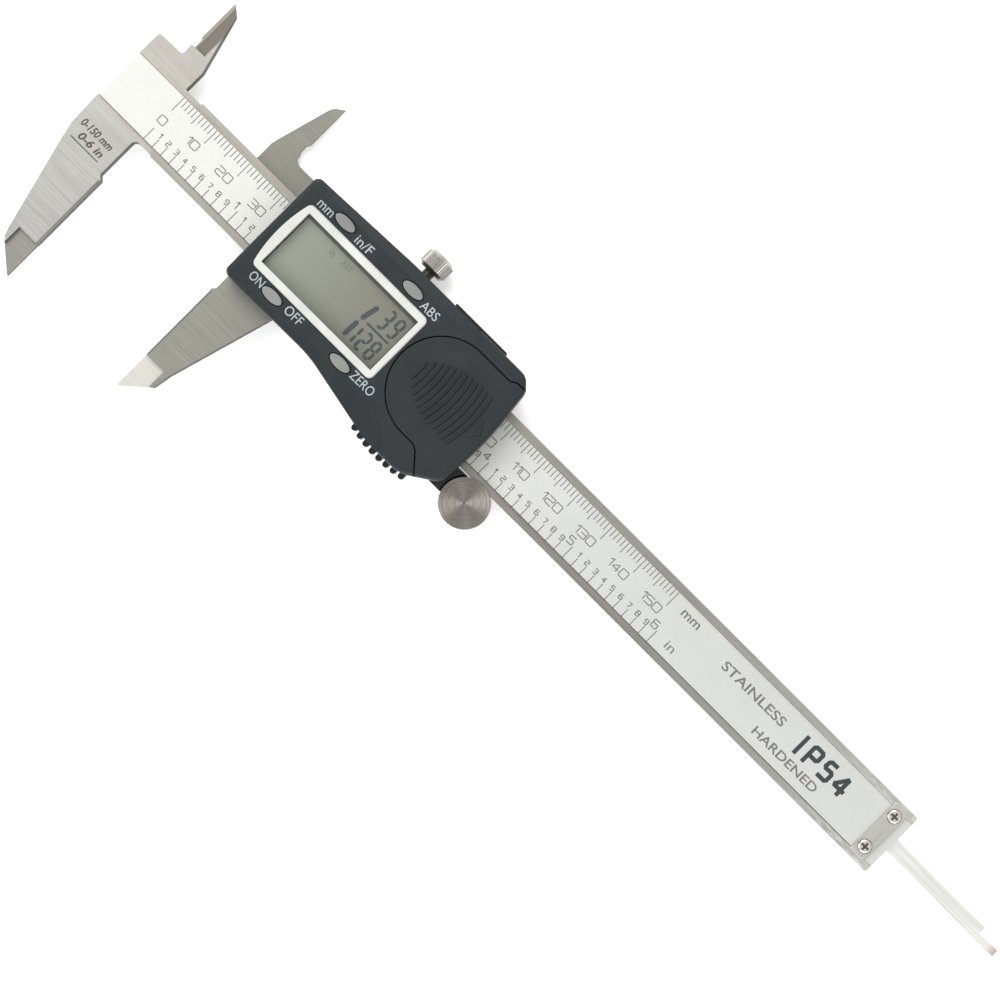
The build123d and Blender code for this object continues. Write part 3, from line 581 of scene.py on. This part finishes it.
# ---- the scale, along X and Y in millimetres ----
LENGTH = 150
INCH = 25.4
INCHES = 6
TICK = 0.19                     # width of a graduation
STROKE = 0.2                    # width of the lines that figures are made of
TICK_TOP = 6.1                  # the upper end of the millimetre graduations
TICK_LOW = {10: 2.2, 5: 3.2, 1: 4.1}   # their lower end, by what the mark is a multiple of
LABEL_LOW = -6.3                # the lower end of the inch graduations


def print_millimetres(page):
    """The upper scale, with a figure every 10 mm that ends just short of its graduation."""
    for mark in range(LENGTH + 1):
        multiple = 10 if mark % 10 == 0 else 5 if mark % 5 == 0 else 1
        page.bar((mark - TICK / 2, mark + TICK / 2), (TICK_LOW[multiple], TICK_TOP))
    for mark in range(10, LENGTH + 1, 10):
        figures(page, str(mark), mark - 0.27, -0.47, 1.8, 1.85, 0.42, STROKE)
    figures(page, "0", 1.0, -1.55, 1.82, 1.82, 0.4, STROKE)


def print_inches(page):
    """The lower scale, with a small figure at each tenth and a large one at each inch."""
    for mark in range(10 * INCHES + 1):
        x = mark * INCH / 10
        inches, tenths = divmod(mark, 10)
        page.bar((x - TICK / 2, x + TICK / 2), (LABEL_LOW, -4.1 if tenths else -3.0))
        if tenths:
            right = x - 0.15 if tenths == 1 else x
            figures(page, str(tenths), right, -3.88, 0.85, 1.12, 0.2, 0.2)
        elif inches:
            right = x - 0.85 if inches == 1 else x - 0.5
            figures(page, str(inches), right, -3.15, 1.45, 1.75, 0.3, 0.22)


def print_scale():
    """The two scales, the words beside them and the heavier protection mark."""
    page = Print(LABEL_TOP)
    print_millimetres(page)
    print_inches(page)
    # a painted shadow line along the label's lower edge, in the gap to the wall of its channel
    page.bar((-13.5, 213.9), (LABEL_LOW - 0.06, LABEL_LOW + 0.08))
    page.type("mm", (153.4, 158.3), (2.95, 4.4), bold=0.01)
    page.type("in", (155.7, 158.0), (-4.5, -2.6))
    page.type("STAINLESS", (167.5, 185.6), (1.0, 3.2), bold=0.012)
    page.type("HARDENED", (181.8, 200.3), (-4.2, -2.2), bold=0.012)
    page.done("scale_print", "beam", "scale_ink")
    mark = Print(LABEL_TOP)
    letters = (("I", 191.3, 0), ("P", 193.8, 2.45), ("5", 198.1, 2.3), ("4", 201.9, 2.7))
    for letter, left, width in letters:
        for path in HEAVY[letter]:
            line, closed = rounded([(left + x * width, -0.5 + y * 4.05) for x, y in path], 0.4)
            mark.line(line, 0.95, closed)
    mark.done("protection_mark", "beam", "dark_ink")


def print_housing():
    """The pale names of the buttons."""
    page = Print(SHELL_TOP)
    page.type("mm", (37.4, 41.45), (9.75, 11.2))
    page.type("in/F", (48.5, 52.95), (9.75, 11.9))
    page.type("ABS", (68.1, 72.7), (9.75, 11.8))
    page.type("ON", (37.9, 41.45), (-11.35, -9.3))
    page.type("OFF", (48.4, 52.95), (-11.3, -9.2))
    page.type("ZERO", (68.0, 74.25), (-11.2, -9.1))
    page.done("button_names", "slider", "white_ink")


SEGMENT_GAP = 0.05
SEGMENTS = {
    "a": ((0, 1), (1, 1)),
    "b": ((1, 1), (1, 0.5)),
    "c": ((1, 0.5), (1, 0)),
    "d": ((0, 0), (1, 0)),
    "e": ((0, 0), (0, 0.5)),
    "f": ((0, 0.5), (0, 1)),
    "g": ((0, 0.5), (1, 0.5)),
}
LIT = {"1": "bc", "2": "abged", "3": "abgcd", "8": "abcdefg", "9": "abcdfg"}


def segment(page, start, end, width):
    """One bar of a seven-segment figure, with pointed ends."""
    along = (end - start).normalized()
    across = Vector((-along.y, along.x)) * width / 2
    tip = along * width / 2
    start = start + along * SEGMENT_GAP
    end = end - along * SEGMENT_GAP
    lower = (start, start + tip - across, end - tip - across)
    upper = (end, end - tip + across, start + tip + across)
    page.plate(lower + upper)


def segment_figure(page, figure, x, y, width, height, slant, stroke):
    """One seven-segment figure, leaning to the right."""
    for name in LIT[figure]:
        ends = []
        for across, up in SEGMENTS[name]:
            ends.append(Vector((x + across * width + slant * up * height, y + up * height)))
        segment(page, *ends, stroke)


def print_display():
    """The reading on the display, as inches and a fraction."""
    page = Print(LCD_TOP)
    lean = 0.05
    stroke = 0.66
    for figure, x in (("3", 64.3), ("9", 67.15)):
        segment_figure(page, figure, x, 0.75, 1.45, 4.5, lean, stroke)
    page.bar((62.6, 68.95), (-0.65, -0.15))
    for figure, x, width in (("1", 61.35, 1.4), ("2", 64.05, 1.5), ("8", 66.75, 1.5)):
        segment_figure(page, figure, x, -5.9, width, 4.25, lean, stroke)
    segment(page, Vector((61.0, -0.9)), Vector((62.05, 3.9)), 1.1)
    segment(page, Vector((60.75, -5.9)), Vector((61.0, -1.2)), 1.1)
    page.done("display_reading", "slider", "lcd_ink")
    faint = Print(LCD_TOP)
    faint.type("in", (46.3, 47.6), (4.3, 5.6), slant=0.1)
    faint.type("ABS", (49.6, 52.4), (4.4, 5.75))
    faint.done("display_marks", "slider", "lcd_faint")
    # painted shadow that the bezel casts on the display's top and side edges
    shade = Print(LCD_TOP)
    shade.bar((37.75, 70.25), (6.6, 7.5))
    shade.bar((69.95, 70.4), (-7.0, 6.95))
    shade.bar((37.6, 37.95), (-7.0, 6.95))
    shade.done("display_bezel_shadow", "slider", "lcd_shade")


def print_range():
    """The measuring range, etched on the fixed jaw."""
    page = Print(BEAM_TOP)
    page.type("0-150 mm", (-12.0, -3.2), (-13.55, -11.7), bold=0.028, slant=0.2)
    page.type("0-6 in", (-10.4, -3.6), (-16.1, -14.25), bold=0.028, slant=0.2)
    page.bar((-11.6, -3.4), (-16.95, -16.7))
    page.done("range_etching", "beam", "etching")


print_scale()
print_housing()
print_display()
print_range()


# ---- floor and light ----
def add_floor():
    """A plain pale floor under the slider's back."""
    data = bpy.data.meshes.new("floor")
    reach = 3.0
    square = ((-reach, -reach), (reach, -reach), (reach, reach), (-reach, reach))
    data.from_pydata([(x, y, FLOOR) for x, y in square], [], [(0, 1, 2, 3)])
    pale = Surface("floor", (0.92, 0.92, 0.92), 0.8)
    pale.tint(pale.noise((6, 6, 6)), 0.99, 1.0)
    pale.set("Emission Color", (1.0, 1.0, 1.0, 1.0))
    pale.set("Emission Strength", 0.4)
    data.materials.append(pale.material)
    floor = bpy.data.objects.new("floor", data)
    bpy.context.scene.collection.objects.link(floor)


def add_panel(name, place, size, power, aim=(0.1, 0.02, 0.0)):
    """A square softbox that faces the caliper."""
    data = bpy.data.lights.new(name, "AREA")
    data.shape = "SQUARE"
    data.size = size
    data.energy = power
    lamp = bpy.data.objects.new(name, data)
    lamp.location = place
    lamp.rotation_euler = (Vector(aim) - Vector(place)).to_track_quat("-Z", "Y").to_euler()
    bpy.context.scene.collection.objects.link(lamp)


def add_light():
    """An even white sky, a key light, a fill and a low rim light."""
    world = bpy.data.worlds.new("world")
    bpy.context.scene.world = world
    world.use_nodes = True
    sky = world.node_tree.nodes["Background"]
    sky.inputs[0].default_value = (1.0, 1.0, 1.0, 1.0)
    sky.inputs[1].default_value = 0.75
    add_panel("key", (-0.5, 0.5, 0.9), 0.7, 8.0)
    add_panel("fill", (0.7, -0.6, 0.8), 0.8, 5.0)
    add_panel("rim", (-0.45, -0.65, 0.40), 0.3, 4.0)
    bpy.context.scene.view_settings.view_transform = "Standard"


add_floor()
add_light()
